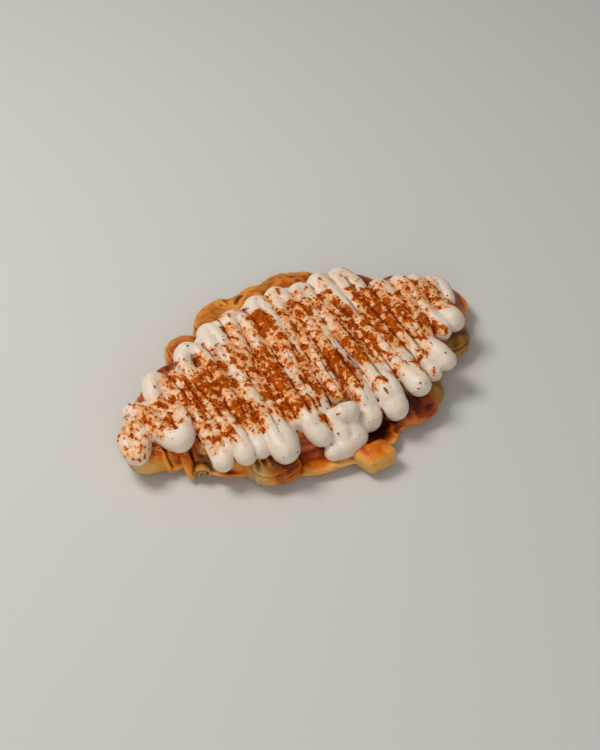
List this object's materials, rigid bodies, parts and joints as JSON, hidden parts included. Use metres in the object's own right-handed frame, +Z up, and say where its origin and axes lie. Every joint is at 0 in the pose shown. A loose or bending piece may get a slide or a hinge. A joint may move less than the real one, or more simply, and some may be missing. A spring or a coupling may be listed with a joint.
{
  "type": "croffle",
  "caption": "Croissant pressed flat and browned, with cream piped across it in one long zigzag and a dusting of cinnamon powder.",
  "frame": {"origin": "under the middle of the croffle's overall box, on the surface it rests on", "axes": "+X from the left tip to the right tip, +Y from the front edge to the back edge, +Z up"},
  "size_m": [0.1802, 0.1214, 0.0226],
  "materials": {
    "crust": "browned laminated dough with a caramelised sheen",
    "cream": "smooth soft piped cream",
    "cinnamon": "fine damp cinnamon powder"
  },
  "bodies": {
    "root": {"crust": "crust", "cream": "cream"}
  },
  "joints": []
}
